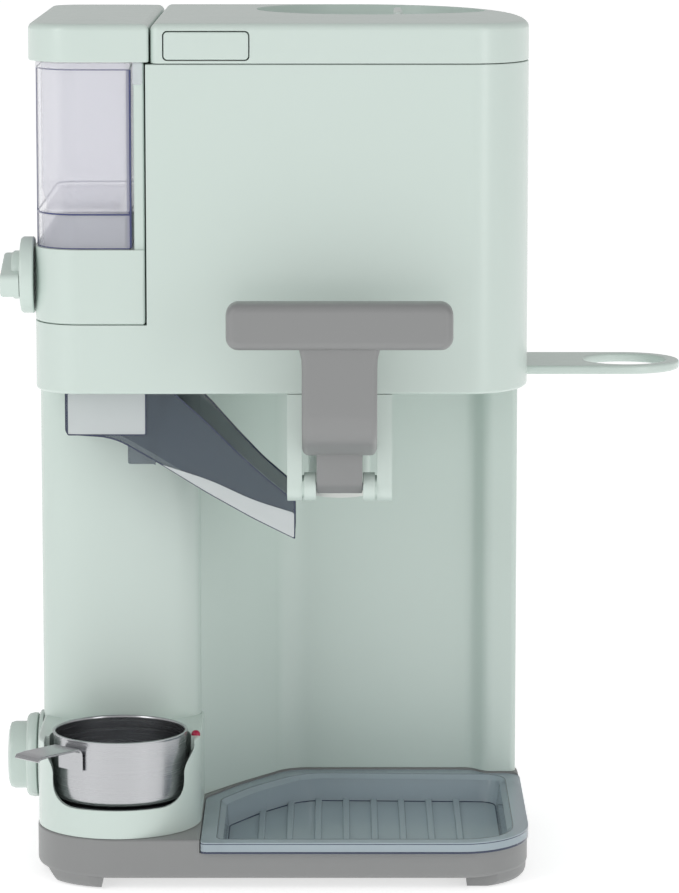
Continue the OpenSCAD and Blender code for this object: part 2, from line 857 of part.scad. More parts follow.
module mix_cup() {
    color(steel) placed() translate([cup_x, cup_y, 0]) rotate_extrude($fn = 96) polygon(concat(
        [[0, cup_z0]],
        arc(cup_r - 3.4, cup_z0 + 3.4, 3.4, 3.4, -90, 0, 5),
        [[cup_r, 73.6], [cup_r - cup_wall, 73.6]],
        arc(cup_r - 3.4, cup_z0 + 3.4, 3.4 - cup_wall, 3.4 - cup_wall, 0, -90, 5),
        [[0, cup_z0 + cup_wall]]
    ));
}

module cup_handle() {
    color(steel) placed() translate([cup_x, cup_y, 0]) rotate(227) {
        difference() {
            translate([cup_r - 3, -strap_w / 2, strap_z0]) cube([7, strap_w, strap_z1 - strap_z0]);
            translate([0, 0, 50]) cylinder(r = cup_r + 0.05, h = 30, $fn = 96);
            difference() {
                translate([0, 0, 50]) cylinder(r = cup_r + 20, h = strap_z1 - strap_t - 50);
                translate([0, 0, 49]) cylinder(r = cup_r + 1.5, h = 30, $fn = 96);
            }
        }
        translate([cup_r + 0.8, -strap_w / 2, strap_z1 - strap_t]) cube([29.7, strap_w, strap_t]);
    }
}

module power_knob() {
    color(mint) placed() {
        rod_x(knob_y, knob_z, 21.75, -160.8, -154.8);
        rod_x(knob_y, knob_z, 17.3, -170, -160.7);
        rod_x(knob_y, knob_z, 3, -154.9, -137);
    }
}

module cone_ring() {
    color(mint) placed() difference() {
        union() {
            slab(246.6, 251) difference() {
                union() {
                    translate([70, 67]) square([ring_reach - 28 - 70, 56]);
                    translate([ring_reach - 28, 95]) circle(r = 28);
                }
                head_plan(-0.4);
            }
            block([58, 70, 247.7], [96, 118, 250.7]);
        }
        translate([ring_reach - 28, 95, 240]) cylinder(r = ring_hole_r, h = 20);
    }
}

base_shell();
bottom_plate();
rubber_feet();
bottom_screws();
column_shell();
rear_cover();
rear_screws();
cord_gland();
warming_plate();
heater_ring();
indicator_lens();
knob_bezel();
rotary_switch();
control_board();
head_shell();
drop_duct();
bowl_well();
freezer_bowl_shell();
bowl_liner();
coolant_gel();
bowl_gasket();
outlet_tube();
gearbox_case();
gearbox_cover();
output_bush();
lower_bush();
idler_axle();
motor_can();
motor_bracket();
spout_bracket();
spout_body();
spout_nozzle();
handle_pin();
lid_shell();
lid_liner();
lid_seal();
lid_hinge_pin();
latch_button();
feed_cap();
paddle();
drive_shaft();
output_gear();
idler_gear();
motor_pinion();
handle();
spout_gate();
hopper_housing();
hopper_container();
hopper_lid();
hopper_knob();
dispenser_rotor();
chute();
drip_tray();
mix_cup();
cup_handle();
power_knob();
cone_ring();
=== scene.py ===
"""Looks of a countertop soft-serve ice cream maker, built round its CAD frame.

Shapes are given in machine millimetres: X = 0 on the bowl's axis, Y = 0 at the head's front face,
Z = 0 on the table. to_frame() carries them into the frame's metres.
"""

import bmesh
import bpy
import numpy as np
from mathutils import Euler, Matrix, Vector


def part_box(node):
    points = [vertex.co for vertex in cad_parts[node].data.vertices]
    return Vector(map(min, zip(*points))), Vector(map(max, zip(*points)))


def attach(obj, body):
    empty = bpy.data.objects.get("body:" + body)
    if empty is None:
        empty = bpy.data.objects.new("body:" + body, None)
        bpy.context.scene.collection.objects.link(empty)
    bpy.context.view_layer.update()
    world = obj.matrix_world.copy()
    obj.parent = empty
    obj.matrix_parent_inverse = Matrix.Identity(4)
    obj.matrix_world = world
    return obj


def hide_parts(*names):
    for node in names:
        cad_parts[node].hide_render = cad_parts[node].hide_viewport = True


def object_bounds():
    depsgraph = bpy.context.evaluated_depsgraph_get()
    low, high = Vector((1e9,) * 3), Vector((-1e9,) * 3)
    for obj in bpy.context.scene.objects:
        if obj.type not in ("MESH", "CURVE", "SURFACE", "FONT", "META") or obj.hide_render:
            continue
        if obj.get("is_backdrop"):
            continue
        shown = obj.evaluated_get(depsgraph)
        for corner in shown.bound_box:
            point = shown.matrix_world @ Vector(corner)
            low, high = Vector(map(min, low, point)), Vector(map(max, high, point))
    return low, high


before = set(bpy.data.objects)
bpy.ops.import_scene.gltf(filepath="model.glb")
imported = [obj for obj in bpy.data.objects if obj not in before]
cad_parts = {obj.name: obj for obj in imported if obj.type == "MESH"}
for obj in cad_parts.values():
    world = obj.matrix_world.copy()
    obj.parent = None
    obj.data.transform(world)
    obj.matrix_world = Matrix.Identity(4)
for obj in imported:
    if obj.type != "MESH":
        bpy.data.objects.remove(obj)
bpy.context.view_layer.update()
scene = bpy.context.scene

# ---------------------------------------------------------------- frame and camera

MM = 0.001
bowl_low, bowl_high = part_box("bowl_liner")
head_low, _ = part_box("head_shell")
ORIGIN = np.array([(bowl_low.x + bowl_high.x) / 2, head_low.y, 0.0])


def to_frame(points):
    """Machine millimetres to frame metres: scaled, then moved to the bowl's axis and the head's front."""
    return np.asarray(points, float) * MM + ORIGIN


CAMERA_AT = (0.0, -2088.0, 535.57)
CAMERA_DOWN = 8.6
CAMERA_LENS = 173.03
SENSOR = 36.0

camera = bpy.data.objects.new("camera", bpy.data.cameras.new("camera"))
camera.location = to_frame(CAMERA_AT)
camera.rotation_euler = Euler((np.radians(90 - CAMERA_DOWN), 0, 0))
camera.data.lens = CAMERA_LENS
camera.data.sensor_width = SENSOR
camera.data.clip_end = 100
scene.collection.objects.link(camera)
scene.camera = camera

# ---------------------------------------------------------------- outlines

X, Y, Z = 0, 1, 2
FLAT = (X, Y, Z)
FACING = (X, Z, Y)
SIDEWAYS = (Y, Z, X)


def arc(cx, cy, rx, ry, start, end, power=2.0, steps=12):
    """Points on a superellipse.

    Each is the centre plus a radius times the cosine or sine raised to 2 / power, with its sign kept.
    """
    turn = np.radians(np.linspace(start, end, steps + 1))
    c, s = np.cos(turn), np.sin(turn)
    across = cx + rx * np.sign(c) * np.abs(c) ** (2 / power)
    along = cy + ry * np.sign(s) * np.abs(s) ** (2 / power)
    return np.column_stack([across, along])


def outline(arcs, inset=0.0):
    """A convex plan's arcs, each radius less the inset.

    Past its radius an arc keeps a tiny one and its centre moves in.
    """
    least = 0.15
    parts = []
    for cx, cy, rx, ry, start, end, power, steps in arcs:
        middle = np.radians((start + end) / 2)
        over_x = max(0.0, inset - rx + least)
        over_y = max(0.0, inset - ry + least)
        cx = cx - np.sign(np.round(np.cos(middle), 6)) * over_x
        cy = cy - np.sign(np.round(np.sin(middle), 6)) * over_y
        parts.append(arc(cx, cy, max(rx - inset, least), max(ry - inset, least), start, end, power, steps))
    return np.vstack(parts)


def corners(points, steps=5):
    """A polygon of (across, along, radius) corners.

    Each corner is a quadratic curve between the points a radius away along its two sides.
    """
    table = np.asarray(points, float)
    spot, radius = table[:, :2], table[:, 2]
    before, after = np.roll(spot, 1, axis=0) - spot, np.roll(spot, -1, axis=0) - spot
    before /= np.linalg.norm(before, axis=1)[:, None]
    after /= np.linalg.norm(after, axis=1)[:, None]
    first, last = spot + before * radius[:, None], spot + after * radius[:, None]
    t = np.linspace(0, 1, steps + 1)[None, :, None]
    curve = (1 - t) ** 2 * first[:, None] + 2 * t * (1 - t) * spot[:, None] + t**2 * last[:, None]
    return curve.reshape(-1, 2)


def bend(points, steps=6):
    """An open line of (across, along, radius) points: the ends stay, the rest are rounded as in corners()."""
    inner = corners(points, steps).reshape(len(points), -1, 2)[1:-1].reshape(-1, 2)
    ends = np.asarray([points[0][:2], points[-1][:2]], float)
    return np.vstack([ends[:1], inner, ends[1:]])


def grow(points, step):
    """A counterclockwise outline moved out by a step along the mean normal of the two edges at each point."""
    edge = np.roll(points, -1, axis=0) - points
    edge = edge / np.maximum(np.linalg.norm(edge, axis=1)[:, None], 1e-9)
    normal = np.column_stack([edge[:, 1], -edge[:, 0]])
    mean = normal + np.roll(normal, 1, axis=0)
    mean /= np.maximum(np.linalg.norm(mean, axis=1)[:, None], 1e-9)
    return points + mean * step


def rounded(z0, z1, low_r=0.0, high_r=0.0, steps=4):
    """Pairs of inset and height for a wall whose bottom and top edges are quarter circles."""
    turn = np.radians(np.linspace(0, 90, steps + 1))
    low = np.column_stack([low_r * (1 - np.sin(turn)), z0 + low_r * (1 - np.cos(turn))])
    high = np.column_stack([high_r * (1 - np.cos(turn)), z1 - high_r * (1 - np.sin(turn))])
    return np.vstack([low, high])


# ---------------------------------------------------------------- meshes


def build(name, points, faces):
    """A closed mesh from machine points and faces, doubles merged and faces turned outwards."""
    mesh = bpy.data.meshes.new(name)
    mesh.from_pydata(to_frame(points).tolist(), [], faces)
    work = bmesh.new()
    work.from_mesh(mesh)
    bmesh.ops.remove_doubles(work, verts=work.verts, dist=2e-6)
    bmesh.ops.dissolve_degenerate(work, dist=2e-6, edges=work.edges)
    bmesh.ops.recalc_face_normals(work, faces=work.faces)
    work.to_mesh(mesh)
    work.free()
    made = bpy.data.objects.new(name, mesh)
    scene.collection.objects.link(made)
    return made


def loft(name, rings, axes=FLAT, joined=False):
    """Rings of equal length as the rows of a grid, each closed on itself.

    The ends are flat faces, unless the last ring is joined to the first.
    """
    grid = np.array(rings, float)
    rows, count = grid.shape[:2]
    points = np.empty((rows * count, 3))
    points[:, list(axes)] = grid.reshape(-1, 3)
    index = np.arange(rows * count).reshape(rows, count)
    low = index if joined else index[:-1]
    high = np.roll(index, -1, axis=0) if joined else index[1:]
    turn = [low, np.roll(low, -1, axis=1), np.roll(high, -1, axis=1), high]
    faces = np.stack(turn, axis=-1).reshape(-1, 4).tolist()
    if not joined:
        faces += [index[0, ::-1].tolist(), index[-1].tolist()]
    return build(name, points, faces)


def at(plan, height):
    """A flat outline lifted to a height, as one ring."""
    return np.column_stack([plan, np.full(len(plan), float(height))])


def solid(name, arcs, profile, axes=FLAT):
    """A convex plan carried through pairs of inset and height."""
    return loft(name, [at(outline(arcs, inset), height) for inset, height in profile], axes)


def prism(name, plan, low, high, axes=FLAT):
    """A flat outline carried straight from one height to another."""
    return loft(name, [at(plan, low), at(plan, high)], axes)


def edging(name, plan, low, high, depth, axes=FLAT):
    """A thin strip round a closed outline, from a hair outside it to a depth inside, between two heights."""
    proud = 0.03
    outer, inner = grow(plan, proud), grow(plan, -depth)
    rings = [[[*a, low], [*b, low], [*b, high], [*a, high]] for a, b in zip(outer, inner)]
    return loft(name, rings, axes, joined=True)


def lathe(name, centre, profile, axes=FLAT, steps=72):
    """Pairs of radius and height turned round an axis through the centre."""
    turn = np.linspace(0, 2 * np.pi, steps, endpoint=False)
    circle = np.column_stack([np.cos(turn), np.sin(turn)])
    pole = 1e-4
    rings = [at(np.asarray(centre) + circle * max(radius, pole), height) for radius, height in profile]
    return loft(name, rings, axes)


def block(name, low, high):
    """A box between two corners, as a prism of its plan."""
    (x0, y0, z0), (x1, y1, z1) = low, high
    return prism(name, np.array([[x0, y0], [x1, y0], [x1, y1], [x0, y1]], float), z0, z1)


def settle(obj):
    """Puts what the modifiers make into the mesh itself."""
    graph = bpy.context.evaluated_depsgraph_get()
    made = bpy.data.meshes.new_from_object(obj.evaluated_get(graph))
    obj.modifiers.clear()
    before = obj.data
    obj.data = made
    bpy.data.meshes.remove(before)
    return obj


def combine(obj, tools, how):
    """Boolean of obj with each tool in turn; the tools are used up."""
    for tool in tools:
        step = obj.modifiers.new(how.lower(), "BOOLEAN")
        step.solver = "EXACT"
        step.operation = how
        step.object = tool
    settle(obj)
    for tool in tools:
        bpy.data.objects.remove(tool, do_unlink=True)
    return obj


def cut(obj, *tools):
    return combine(obj, tools, "DIFFERENCE")


def join(obj, *tools):
    return combine(obj, tools, "UNION")


def soften(obj, width, angle=38, segments=3):
    """Rounds every edge that turns more than the angle, width in millimetres."""
    work = bmesh.new()
    work.from_mesh(obj.data)
    bmesh.ops.remove_doubles(work, verts=work.verts, dist=2e-5)
    bmesh.ops.dissolve_degenerate(work, dist=2e-5, edges=work.edges)
    work.to_mesh(obj.data)
    work.free()
    edge = obj.modifiers.new("edges", "BEVEL")
    edge.width = width * MM
    edge.segments = segments
    edge.limit_method = "ANGLE"
    edge.angle_limit = np.radians(angle)
    edge.use_clamp_overlap = True
    edge.miter_outer = "MITER_ARC"
    return settle(obj)


def done(obj, material, body, slot, *nodes, sharp=42):
    """Ends a piece: its finish, smooth faces that are sharp past an angle, weighted normals and body; the
    slot is not used.

    The named nodes are the frame's own shapes that the piece stands in for.
    """
    obj.data.materials.clear()
    obj.data.materials.append(material)
    for face in obj.data.polygons:
        face.material_index = 0
    obj.data.shade_smooth()
    obj.data.set_sharp_from_angle(angle=np.radians(sharp))
    weigh = obj.modifiers.new("normals", "WEIGHTED_NORMAL")
    weigh.keep_sharp = True
    settle(obj)
    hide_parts(*nodes)
    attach(obj, body)
    return obj


# ---------------------------------------------------------------- finishes


def colour(code):
    """An sRGB hex code as linear red, green, blue and a full alpha."""
    value = np.array([int(code[i : i + 2], 16) for i in (1, 3, 5)]) / 255
    linear = np.where(value <= 0.04045, value / 12.92, ((value + 0.055) / 1.055) ** 2.4)
    return (*linear.tolist(), 1.0)


def add(tree, kind, sockets, **settings):
    """One node: settings are its own properties, sockets give each input a value or another node's output."""
    made = tree.nodes.new(kind)
    for key, value in settings.items():
        setattr(made, key, value)
    for key, value in sockets.items():
        if isinstance(value, bpy.types.NodeSocket):
            tree.links.new(value, made.inputs[key])
        else:
            made.inputs[key].default_value = value
    return made


def finish(name, base, tint, rough, grain, bump, cloud=70.0, stretch=(1, 1, 1), **shader):
    """A moulded or machined finish.

    Two close colours drift over clouds of a real size. The roughness wanders between two values on a fine
    grain, and the same grain lifts the surface by a bump. Cloud, grain and bump are in millimetres.
    """
    material = bpy.data.materials.new(name)
    material.use_nodes = True
    tree = material.node_tree
    tree.nodes.clear()
    where = add(tree, "ShaderNodeTexCoord", {})
    spread = add(tree, "ShaderNodeMapping", {"Vector": where.outputs["Object"], "Scale": stretch})
    slow = {"Vector": where.outputs["Object"], "Scale": 1 / (cloud * MM), "Detail": 3.0}
    drift = add(tree, "ShaderNodeTexNoise", slow)
    fine = {"Vector": spread.outputs["Vector"], "Scale": 1 / (grain * MM), "Detail": 4.0, "Roughness": 0.6}
    texture = add(tree, "ShaderNodeTexNoise", fine)
    mix_factor, mix_first, mix_second, mix_colour = 0, 6, 7, 2
    pair = {mix_factor: drift.outputs["Fac"], mix_first: colour(base), mix_second: colour(tint)}
    shade = add(tree, "ShaderNodeMix", pair, data_type="RGBA")
    grain_low, grain_high = 0.3, 0.7
    limits = {"Value": texture.outputs["Fac"], "From Min": grain_low, "From Max": grain_high}
    gloss = add(tree, "ShaderNodeMapRange", {**limits, "To Min": rough[0], "To Max": rough[1]})
    lift = {"Height": texture.outputs["Fac"], "Strength": 1.0, "Distance": bump * MM}
    relief = add(tree, "ShaderNodeBump", lift)
    sockets = {
        "Base Color": shade.outputs[mix_colour],
        "Roughness": gloss.outputs["Result"],
        "Normal": relief.outputs["Normal"],
    }
    surface = add(tree, "ShaderNodeBsdfPrincipled", {**sockets, **shader})
    add(tree, "ShaderNodeOutputMaterial", {"Surface": surface.outputs["BSDF"]})
    return material


# ABS, injection moulded in a polished tool: even, glossy, with the faintest flow marks in its gloss.
MINT = finish("abs_mint_polished", "#ccd9d3", "#cad8d1", (0.24, 0.27), 5.0, 0.0004, cloud=160.0, IOR=1.54)
# The same ABS left paler, from a satin tool, for parts inside and behind.
PALE = finish("abs_pale_satin", "#d9e2de", "#d6e0db", (0.36, 0.42), 1.6, 0.002, cloud=120.0, IOR=1.54)
# Polypropylene, moulded, with its waxy sheen.
WHITE = finish("polypropylene_white", "#e9ebe8", "#e2e5e1", (0.34, 0.44), 2.4, 0.008, IOR=1.49)
# ABS in grey from a spark-eroded tool: an even, fine-grained satin.
GREY = finish("abs_grey_spark_eroded", "#898a8a", "#878888", (0.38, 0.44), 0.9, 0.003, cloud=120.0, IOR=1.54)
# Polycarbonate with a smoke tint, moulded clear, for the tray. Its colour is painted lighter than the chute's
# copy of the same plastic: painted light, for light bounced up from the floor. Its darker, bluer look where
# seen edge on is painted by separate dark strips.
SMOKED = finish(
    "polycarbonate_smoked_painted_light", "#b9c8d0", "#b6c5ce", (0.1, 0.13), 9.0, 0.0004,
    cloud=120.0, IOR=1.58, Alpha=0.66,
)
# The same smoked polycarbonate for the chute, painted far darker than the tray's copy: painted shade, for
# what lies dark behind it.
SMOKED_PAINTED_SHADE = finish(
    "polycarbonate_smoked_painted_shade", "#4d5a66", "#4a5764", (0.07, 0.1), 9.0, 0.0003,
    cloud=90.0, IOR=1.58, Alpha=0.58,
)
# A pale, nearly untinted copy of the chute's polycarbonate, for a thin sheet on the chute's collar and a band
# along its lip: painted highlight where they catch the light.
CHUTE_HIGHLIGHT = finish(
    "polycarbonate_painted_highlight", "#e9efef", "#e6eced", (0.06, 0.09), 8.0, 0.0003,
    cloud=60.0, IOR=1.58, Alpha=0.5,
)
# Dark blue strips laid on its edges and seams: painted shade for how the edges darken seen end on, partly the
# tint over a longer path and partly refraction.
SMOKED_EDGE_SHADE = finish(
    "polycarbonate_edge_painted_shade", "#2c3550", "#283149", (0.1, 0.14), 8.0, 0.0004,
    cloud=60.0, IOR=1.58,
)
# Styrene acrylonitrile, moulded clear, with a cool cast.
CLEAR = finish(
    "san_clear", "#e4e4ee", "#e1e1ec", (0.05, 0.07), 12.0, 0.0003,
    cloud=90.0, IOR=1.57, Alpha=0.34,
)
# Deep blue strips laid on the jar's corners, rim, ledge and foot: painted shade for how its thick edges
# darken, partly the tint over a longer path and partly refraction.
CLEAR_EDGE_SHADE = finish("san_clear_edge_painted_shade", "#3f4675", "#394070", (0.08, 0.1), 8.0, 0.0003, IOR=1.57, Alpha=0.86)
# Acrylic lens, moulded red.
RED = finish("acrylic_red_lens", "#b01040", "#98103a", (0.06, 0.1), 3.0, 0.001, cloud=3.0, IOR=1.49)
# Glass-filled nylon, moulded black, with its dusty matt skin.
BLACK = finish("nylon_black", "#2b2c2e", "#232426", (0.5, 0.62), 0.7, 0.02, IOR=1.53)
# Stainless steel, spun and then brushed round its axis: fine bands that run with the turning.
CUP_STEEL = finish(
    "stainless_brushed", "#bbbcbe", "#b4b5b8", (0.2, 0.3), 2.2, 0.002,
    cloud=60.0, stretch=(0.03, 0.03, 4.0), Metallic=1.0,
)
# Zinc-plated steel screws and pins, turned, with a cool bright skin.
SCREW_STEEL = finish(
    "steel_zinc_plated", "#b9bcc0", "#a9acb2", (0.24, 0.36), 0.8, 0.004,
    cloud=5.0, Metallic=1.0,
)
# Deep-drawn steel motor can, nickel-washed.
MOTOR_STEEL = finish("steel_drawn", "#8f9296", "#83868b", (0.32, 0.46), 1.8, 0.006, cloud=18.0, Metallic=1.0)
# Aluminium warming plate, hard-anodised dark grey.
PLATE = finish(
    "aluminium_hard_anodised", "#505256", "#484a4e", (0.36, 0.5), 0.6, 0.008,
    cloud=14.0, Metallic=0.9,
)
# Aluminium bowl, spun and anodised clear: silky, with rings from the turning.
BOWL = finish(
    "aluminium_anodised", "#ccced0", "#c0c2c5", (0.26, 0.4), 2.6, 0.008,
    cloud=40.0, stretch=(0.05, 0.05, 3.0), Metallic=1.0,
)
# Sintered bronze bushes, full of fine pores.
BRONZE = finish("bronze_sintered", "#a8834c", "#967341", (0.36, 0.56), 0.5, 0.02, cloud=6.0, Metallic=1.0)
# Silicone seals, moulded pale grey, slightly tacky and dull.
SEAL = finish("silicone_seal", "#a9adac", "#9fa3a2", (0.5, 0.62), 1.2, 0.01, IOR=1.41)
# Thermoplastic rubber feet, black and dull.
RUBBER = finish("rubber_feet", "#2a2a2b", "#222223", (0.66, 0.8), 0.8, 0.03, IOR=1.52)
# Coolant gel sealed in the bowl's wall.
GEL = finish("coolant_gel", "#9fc7df", "#8fbcd8", (0.1, 0.2), 8.0, 0.01, IOR=1.34)
# Acetal gears, hobbed: ivory and faintly waxy.
ACETAL = finish("acetal_hobbed", "#e6e2d5", "#dcd7c8", (0.3, 0.42), 1.0, 0.006, IOR=1.48)
# Glass-epoxy board under green solder mask, with the weave showing through.
BOARD = finish("glass_epoxy_board", "#2f6b45", "#24583a", (0.22, 0.4), 0.5, 0.015, cloud=7.0, IOR=1.55)
# Mica heater: flaky, brown and slightly pearly.
MICA = finish("mica_heater", "#8a5a42", "#734836", (0.3, 0.6), 1.4, 0.03, cloud=5.0, IOR=1.58)

# ---------------------------------------------------------------- head

HEAD_Z0, HEAD_Z1 = 245.6, 407.3
BAY_X, BAY_Z = -94.4, 279.7
BOWL_Y, SPOUT_Y, MOTOR_Y = 88.0, 34.0, 172.0
HINGE_Y, HINGE_Z, HINGE_R = 205.0, 407.5, 4.0
head_front_right = (63.7, 42, 30, 42, -90, 0, 2.0, 18)
head_back_right = (0, 42, 93.7, 158, 0, 90, 2.4, 30)
head_back_left = (-138.5, 188, 12, 12, 90, 180, 2.0, 10)
head_front_left = (-127.5, 27, 23, 27, 180, 270, 2.0, 18)
head_plan = [head_front_right, head_back_right, head_back_left, head_front_left]


def right_of(edge, radius):
    """The head's plan to the right of an edge, with small corners on the cut side."""
    back = (edge + radius, 200 - radius, radius, radius, 90, 180, 2.0, 5)
    front = (edge + radius, radius, radius, radius, 180, 270, 2.0, 5)
    return [head_front_right, head_back_right, back, front]


def left_of(edge, radius, front_y=0.0, back_y=200.0):
    """The head's plan to the left of an edge, with small corners on the cut side."""
    front = (edge - radius, front_y + radius, radius, radius, 270, 360, 2.0, 5)
    back = (edge - radius, back_y - radius, radius, radius, 0, 90, 2.0, 5)
    back_left = (-138.5, back_y - 12, 12, 12, 90, 180, 2.0, 10)
    return [front, back, back_left, head_front_left]


def eye(foot_low, foot_high, start=-60, end=110):
    """Side view of a hinge ear: a round eye whose arm widens to its foot."""
    round_end = arc(HINGE_Y, HINGE_Z, HINGE_R, HINGE_R, start, end, steps=14)
    return np.vstack([[foot_low], round_end, [foot_high]])


casing = solid("head_casing", head_plan, rounded(HEAD_Z0, HEAD_Z1, 1.6, 0.5))
hollow = solid("hollow", right_of(-91.4, 4), [(3, 248.6), (3, 430)])
bay = block("bay", (-200, -10, BAY_Z), (BAY_X, 230, 430))
drop = block("drop", (-131, 12, 230), (-95, 48, 300))
outlet = lathe("outlet", (0, SPOUT_Y), [(11.2, 230), (11.2, 255)])
shaft_way = lathe("shaft_way", (0, MOTOR_Y), [(10, 230), (10, 255)])
slot_way = block("slot_way", (55, 68.4, 247.3), (110, 119.6, 251.1))
cut(casing, bay, hollow, drop, outlet, shaft_way, slot_way)
ears = [prism(f"ear_{x}", eye((198.5, 394), (198.5, HEAD_Z1)), x, x + 10, SIDEWAYS) for x in (-28, 8)]
join(casing, *ears)
soften(casing, 0.9, angle=50)
done(casing, MINT, "machine_body", "mint_plastic", "head_shell")

deck = solid("well_deck", right_of(-91.2, 3), rounded(400.6, 403.4, 0.3, 0.3) + [3.2, 0])
cut(deck, lathe("well_hole", (0, BOWL_Y), [(81.6, 390), (81.6, 420)], steps=120))
done(deck, WHITE, "machine_body", "white_plastic")

# ---------------------------------------------------------------- lid

LID_Z0 = 407.7
DISH, DISH_R = (16, 122), 58.5
FEED, FEED_R = (30, 122), 22.0
LATCH = (-64.9, 416.3)


def pill(width, height, radius, centre=(0, 0), steps=6):
    """The four corner arcs of a rounded rectangle about its centre."""
    x, y = centre
    across, along = width / 2 - radius, height / 2 - radius
    signs = [(1, -1, 270), (1, 1, 0), (-1, 1, 90), (-1, -1, 180)]
    return [(x + i * across, y + j * along, radius, radius, a, a + 90, 2.0, steps) for i, j, a in signs]


crown = [(12, 427.6), (24, 428.1), (38, 428.4)]
lid_profile = np.vstack([rounded(LID_Z0, 427.2, 0.5, 3.6, 6), crown])
lid = solid("lid_top", right_of(-92, 4), lid_profile)
under = solid("under", right_of(-92, 4), [(2.5, 400), (2.5, 424)])
boss = lathe("boss", DISH, [(61, 417.6), (61, 426.2)], steps=120)
bowl_turn = np.linspace(0, 90, 5)
dish_corner = [(DISH_R - 3 + 3 * np.sin(np.radians(t)), 422.5 - 3 * np.cos(np.radians(t))) for t in bowl_turn]
dish = lathe("dish", DISH, [(2, 419.5), *dish_corner, (DISH_R, 427), (DISH_R + 0.4, 440)], steps=120)
feed = lathe("feed", FEED, [(FEED_R, 400), (FEED_R, 440)], steps=96)
latch_hole = solid("latch_hole", pill(42.4, 14.6, 2.4, LATCH), [(0, -5), (0, 10)], FACING)
cut(lid, under)
join(lid, boss)
cut(lid, dish, feed, latch_hole)
lid_eye = eye((198, 408.2), (198, 416), -120, 60)
join(lid, prism("lid_ear", lid_eye, -17.4, 7.4, SIDEWAYS))
soften(lid, 0.8, angle=50)
done(lid, MINT, "lid", "mint_plastic", "lid_shell")

button_face = [(0.9, -0.2), (0.25, 0.05), (0, 0.7), (0, 2.4)]
button = solid("latch_face", pill(41.4, 13.6, 2.0, LATCH), button_face, FACING)
join(button, block("button_root", (-75, 2.2, 412), (-55, 6, 421)))
done(button, MINT, "latch", "mint_plastic", "latch_button")

cap_edge = rounded(419.7, 421.9, 0.5, 0.9)
cap = lathe("feed_plug_cap", FEED, [(25 - inset, height) for inset, height in cap_edge], steps=96)
stem = rounded(411.7, 420.5, 1.4, 0)
join(cap, lathe("plug", FEED, [(21.6 - inset, height) for inset, height in stem], steps=96))
grip = solid("grip", pill(4.4, 44, 2.1, FEED), [(0, 421), (0, 426.6), (0.4, 427.6), (1.1, 428.1)])
join(cap, grip)
soften(cap, 0.6, angle=50)
done(cap, PALE, "feed_plug", "pale_plastic", "feed_cap")

# ---------------------------------------------------------------- hopper

HOUSE_Z0, HOUSE_Z1 = 279.9, 316.8
ROTOR = (30, 301.5)
GLASS_X = -101.2

housing = solid("hopper_housing_shell", left_of(-95.2, 1.6), rounded(HOUSE_Z0, HOUSE_Z1, 1.4, 0.3))
pocket = solid("pocket", left_of(-100.5, 2), [(2.5, 282.4), (2.5, 330)])
way_down = block("way_down", (-129, 15, 270), (-97.8, 45, 290))
cut(housing, pocket, way_down)
wall_plan = pill(5.3, 194.5, 1.2, (-97.85, 98.75))
wall = solid("bay_wall", wall_plan, [(0, 300), (0, 407.2), (0.5, 408)])
join(housing, wall)
shaft_hole = lathe("shaft_hole", ROTOR, [(3.1, -170), (3.1, -140)], SIDEWAYS, 32)
cut(housing, shaft_hole)
soften(housing, 0.5, angle=50)
done(housing, MINT, "hopper", "mint_plastic", "hopper_housing")

glass = left_of(GLASS_X, 1.6, 0, 188)
GLASS_INSET = 1.3
glass_wall = [(GLASS_INSET, 317), (GLASS_INSET, 334.2), (1.9, 335), (GLASS_INSET, 335.8)]
glass_wall += [(GLASS_INSET, 404.6), (0.7, 405.2), (0.7, 407.4), (1.1, 407.9)]
jar = solid("hopper_jar", glass, glass_wall)
inside_wall = [(14, 336.4), (9, 337.5), (5, 340.5), (3.5, 346), (3.5, 430)]
inside = solid("inside", glass, inside_wall)
below = solid("below", glass, [(3.5, 300), (3.5, 332.6)])
throat = solid("throat", pill(36, 32, 4, (-126, 30)), [(0, 320), (0, 350)])
cut(jar, inside, below, throat)
soften(jar, 0.35, angle=50, segments=2)
done(jar, CLEAR, "hopper", "clear_plastic", "hopper_container")

tab = solid("jar_tab", pill(5, 11, 0.8, (-98.3, 403)), [(0.3, 0.2), (0, 0.5), (0, 2.0), (0.3, 2.3)], FACING)
done(tab, CLEAR, "hopper", "clear_plastic")
# Dark strips on the jar's front corner and left edge, and lines round its foot, ledge and rim: painted shade.
edge_plan = pill(2.4, 2.6, 0.6, (GLASS_X - 1.5, 3.1))
edge = solid("jar_edge", edge_plan, [(0, 317.6), (0, 404.6)])
done(edge, CLEAR_EDGE_SHADE, "hopper", "clear_plastic")
left_edge = solid("jar_left_edge", pill(0.7, 6, 0.3, (-149.0, 28)), [(0, 317.6), (0, 404.6)])
done(left_edge, CLEAR_EDGE_SHADE, "hopper", "clear_plastic")
jar_lines = [("jar_rim_line", 404.4, 405.0), ("jar_ledge_line", 333.6, 334.4)]
jar_lines += [("jar_foot_line", 317.1, 317.6)]
for name, low, high in jar_lines:
    line = edging(name, outline(glass, GLASS_INSET), low, high, 0.5)
    done(line, CLEAR_EDGE_SHADE, "hopper", "clear_plastic")

cover_plan = [(-129.8, 27, 23.2, 27, 180, 270, 2.0, 18), (-140.9, 188, 12.1, 12, 90, 180, 2.0, 10)]
cover_plan = left_of(-92.8, 2)[:2] + cover_plan[::-1]
cover_profile = np.vstack([rounded(408.3, 426.9, 0.6, 3.4, 6), [(12, 427.4), (22, 427.9)]])
cover = solid("hopper_cover_top", cover_plan, cover_profile)
cut(cover, solid("cover_hollow", cover_plan, [(2.6, 400), (2.6, 424.6)]))
done(cover, MINT, "hopper_cover", "mint_plastic", "hopper_lid")

